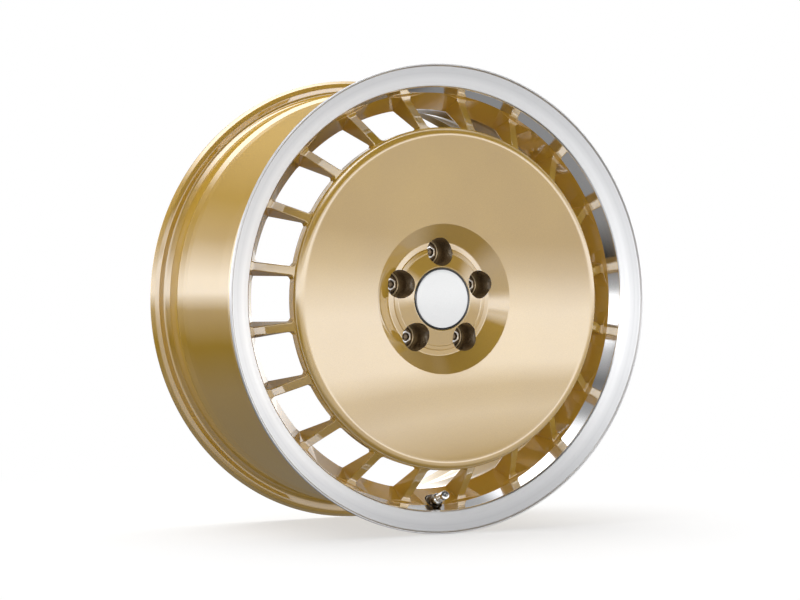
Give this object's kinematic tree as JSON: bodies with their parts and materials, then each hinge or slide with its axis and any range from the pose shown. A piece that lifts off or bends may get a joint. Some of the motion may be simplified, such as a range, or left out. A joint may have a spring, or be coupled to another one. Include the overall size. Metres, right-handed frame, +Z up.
{
  "type": "alloy car wheel",
  "caption": "Turbofan-style alloy wheel with a dished gold disc, short spokes round its edge, a polished lip, cone-seat bolts, a push-in centre cap and a clamp-in valve.",
  "frame": {"origin": "on the wheel's axis, midway between the front of the disc's rim and the inboard flange edge", "axes": "wheel axis along Y with the street side facing -Y, the car side +Y, and +Z up; the valve is at the bottom"},
  "size_m": [0.4966, 0.2334, 0.4966],
  "materials": {
    "gold_paint": "aluminium painted a glossy metallic champagne gold under clear coat",
    "polished_lip": "diamond-turned bright aluminium under clear coat",
    "bolt_steel": "bright zinc-plated steel",
    "dark_zinc": "dark zinc-flake coated steel",
    "black_nylon": "matte moulded nylon",
    "black_gloss": "gloss black plastic",
    "silver_plate": "silver-white lacquered plate",
    "nickel": "bright nickel-plated brass",
    "valve_rubber": "matte black EPDM rubber",
    "brass": "plain machined brass"
  },
  "bodies": {
    "root": {"outer_lip": "polished_lip", "street_bead_seat": "gold_paint", "well_step": "gold_paint", "drop_centre": "gold_paint", "rim_barrel": "gold_paint", "inboard_bead_seat": "gold_paint", "inboard_flange": "gold_paint", "face_disc": "gold_paint", "hub": "gold_paint", "spoke_01": "gold_paint", "spoke_02": "gold_paint", "spoke_03": "gold_paint", "spoke_04": "gold_paint", "spoke_05": "gold_paint", "spoke_06": "gold_paint", "spoke_07": "gold_paint", "spoke_08": "gold_paint", "spoke_09": "gold_paint", "spoke_10": "gold_paint", "spoke_11": "gold_paint", "spoke_12": "gold_paint", "spoke_13": "gold_paint", "spoke_14": "gold_paint", "spoke_15": "gold_paint", "spoke_16": "gold_paint", "spoke_17": "gold_paint", "spoke_18": "gold_paint", "spoke_19": "gold_paint", "spoke_20": "gold_paint", "centring_ring": "black_nylon", "valve_stem": "nickel", "valve_grommet": "valve_rubber", "valve_tyre_seal": "valve_rubber", "valve_washer": "nickel", "valve_nut": "dark_zinc", "valve_core": "brass"},
    "collar_1": {"bolt_collar_1": "dark_zinc"},
    "bolt_1": {"wheel_bolt_1": "bolt_steel"},
    "collar_2": {"bolt_collar_2": "dark_zinc"},
    "bolt_2": {"wheel_bolt_2": "bolt_steel"},
    "collar_3": {"bolt_collar_3": "dark_zinc"},
    "bolt_3": {"wheel_bolt_3": "bolt_steel"},
    "collar_4": {"bolt_collar_4": "dark_zinc"},
    "bolt_4": {"wheel_bolt_4": "bolt_steel"},
    "collar_5": {"bolt_collar_5": "dark_zinc"},
    "bolt_5": {"wheel_bolt_5": "bolt_steel"},
    "cap": {"centre_cap": "black_nylon", "cap_trim_ring": "black_gloss", "cap_emblem_disc": "silver_plate", "cap_spring_ring": "bolt_steel"},
    "cap_seal": {"valve_cap_seal": "valve_rubber"},
    "valve_cap": {"valve_cap": "nickel"},
    "core_pin": {"valve_core_pin": "brass"}
  },
  "joints": [
    {"name": "bolt_1_travel", "type": "slide", "parent": "root", "child": "collar_1", "axis": [0, -1, 0], "range_m": [0, 0.018]},
    {"name": "bolt_1_turn", "type": "hinge", "parent": "collar_1", "child": "bolt_1", "pos_m": [0, -0.0587, 0.05], "axis": [0, -1, 0], "range_deg": [0, 4320]},
    {"name": "bolt_2_travel", "type": "slide", "parent": "root", "child": "collar_2", "axis": [0, -1, 0], "range_m": [0, 0.018]},
    {"name": "bolt_2_turn", "type": "hinge", "parent": "collar_2", "child": "bolt_2", "pos_m": [-0.04755, -0.0587, 0.01545], "axis": [0, -1, 0], "range_deg": [0, 4320]},
    {"name": "bolt_3_travel", "type": "slide", "parent": "root", "child": "collar_3", "axis": [0, -1, 0], "range_m": [0, 0.018]},
    {"name": "bolt_3_turn", "type": "hinge", "parent": "collar_3", "child": "bolt_3", "pos_m": [-0.02939, -0.0587, -0.04045], "axis": [0, -1, 0], "range_deg": [0, 4320]},
    {"name": "bolt_4_travel", "type": "slide", "parent": "root", "child": "collar_4", "axis": [0, -1, 0], "range_m": [0, 0.018]},
    {"name": "bolt_4_turn", "type": "hinge", "parent": "collar_4", "child": "bolt_4", "pos_m": [0.02939, -0.0587, -0.04045], "axis": [0, -1, 0], "range_deg": [0, 4320]},
    {"name": "bolt_5_travel", "type": "slide", "parent": "root", "child": "collar_5", "axis": [0, -1, 0], "range_m": [0, 0.018]},
    {"name": "bolt_5_turn", "type": "hinge", "parent": "collar_5", "child": "bolt_5", "pos_m": [0.04755, -0.0587, 0.01545], "axis": [0, -1, 0], "range_deg": [0, 4320]},
    {"name": "cap_pull", "type": "slide", "parent": "root", "child": "cap", "axis": [0, -1, 0], "range_m": [0, 0.03]},
    {"name": "valve_cap_travel", "type": "slide", "parent": "root", "child": "cap_seal", "axis": [0, -0.9483, 0.3173], "range_m": [0, 0.00794]},
    {"name": "valve_cap_turn", "type": "hinge", "parent": "cap_seal", "child": "valve_cap", "pos_m": [0, -0.09525, -0.20928], "axis": [0, -0.9483, 0.3173], "range_deg": [0, 3600]},
    {"name": "core_pin_press", "type": "slide", "parent": "root", "child": "core_pin", "axis": [0, 0.9483, -0.3173], "range_m": [0, 0.0014], "stiffness_N_per_m": 1500, "springref_m": -0.001}
  ],
  "couplings": [
    {"joint": "bolt_1_turn", "follows": "bolt_1_travel", "rad_per_m": 4188.8},
    {"joint": "bolt_2_turn", "follows": "bolt_2_travel", "rad_per_m": 4188.8},
    {"joint": "bolt_3_turn", "follows": "bolt_3_travel", "rad_per_m": 4188.8},
    {"joint": "bolt_4_turn", "follows": "bolt_4_travel", "rad_per_m": 4188.8},
    {"joint": "bolt_5_turn", "follows": "bolt_5_travel", "rad_per_m": 4188.8},
    {"joint": "valve_cap_turn", "follows": "valve_cap_travel", "rad_per_m": 7913.3}
  ]
}
